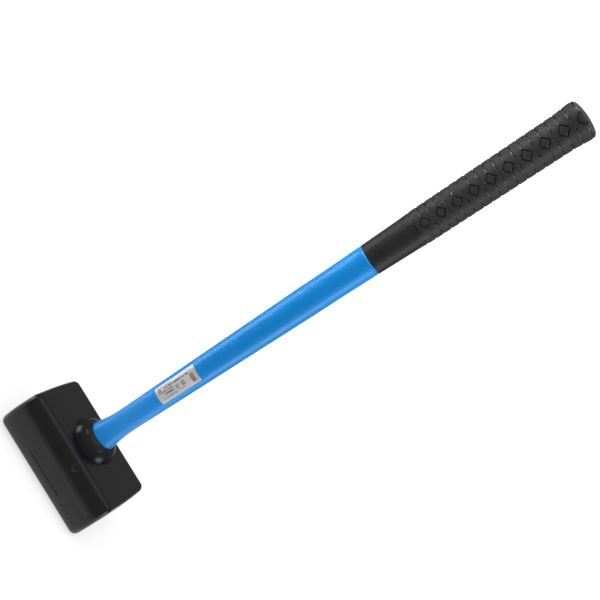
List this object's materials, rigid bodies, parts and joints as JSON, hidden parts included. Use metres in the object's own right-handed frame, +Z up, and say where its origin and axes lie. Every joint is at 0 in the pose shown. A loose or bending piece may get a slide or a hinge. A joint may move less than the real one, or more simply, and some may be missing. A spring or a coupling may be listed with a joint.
{
  "type": "dead-blow lump hammer",
  "caption": "Long-handled soft-faced dead-blow hammer: black urethane head with flats and crowned faces, loose shot inside, flared blue jacketed handle and patterned rubber grip.",
  "frame": {"origin": "middle of the head's flat underside, on which the hammer stands", "axes": "+X along the head through both striking faces, +Z up the handle, +Y across the head"},
  "size_m": [0.139, 0.097, 0.62],
  "materials": {
    "head_urethane": "satin moulded black urethane",
    "carcass_steel": "drawn mild steel",
    "weld_metal": "rippled weld bead",
    "steel_shot": "polished balls",
    "epoxy": "cast amber resin",
    "glass_fibre": "pultruded rod, lengthwise strands",
    "sealant": "matt black bead",
    "jacket_plastic": "satin gloss blue",
    "label_film": "satin silver film with dark print",
    "grip_rubber": "matt black rubber, moulded pattern"
  },
  "bodies": {
    "root": {"head_shell": "head_urethane", "canister_tube": "carcass_steel", "disc_left": "carcass_steel", "disc_right": "carcass_steel", "disc_weld_left": "weld_metal", "disc_weld_right": "weld_metal", "handle_socket": "carcass_steel", "socket_weld_top": "weld_metal", "socket_weld_bottom": "weld_metal", "socket_plug": "carcass_steel", "handle_bond": "epoxy", "core_rod": "glass_fibre", "jacket_seal": "sealant", "jacket": "jacket_plastic", "label": "label_film", "grip": "grip_rubber"},
    "shot_charge_left": {"shot_left": "steel_shot"},
    "shot_charge_right": {"shot_right": "steel_shot"}
  },
  "joints": [
    {"name": "shot_slide_left", "type": "slide", "parent": "root", "child": "shot_charge_left", "axis": [1, 0, 0], "range_m": [-0.0073, 0.0073]},
    {"name": "shot_slide_right", "type": "slide", "parent": "root", "child": "shot_charge_right", "axis": [1, 0, 0], "range_m": [-0.0073, 0.0073]}
  ]
}
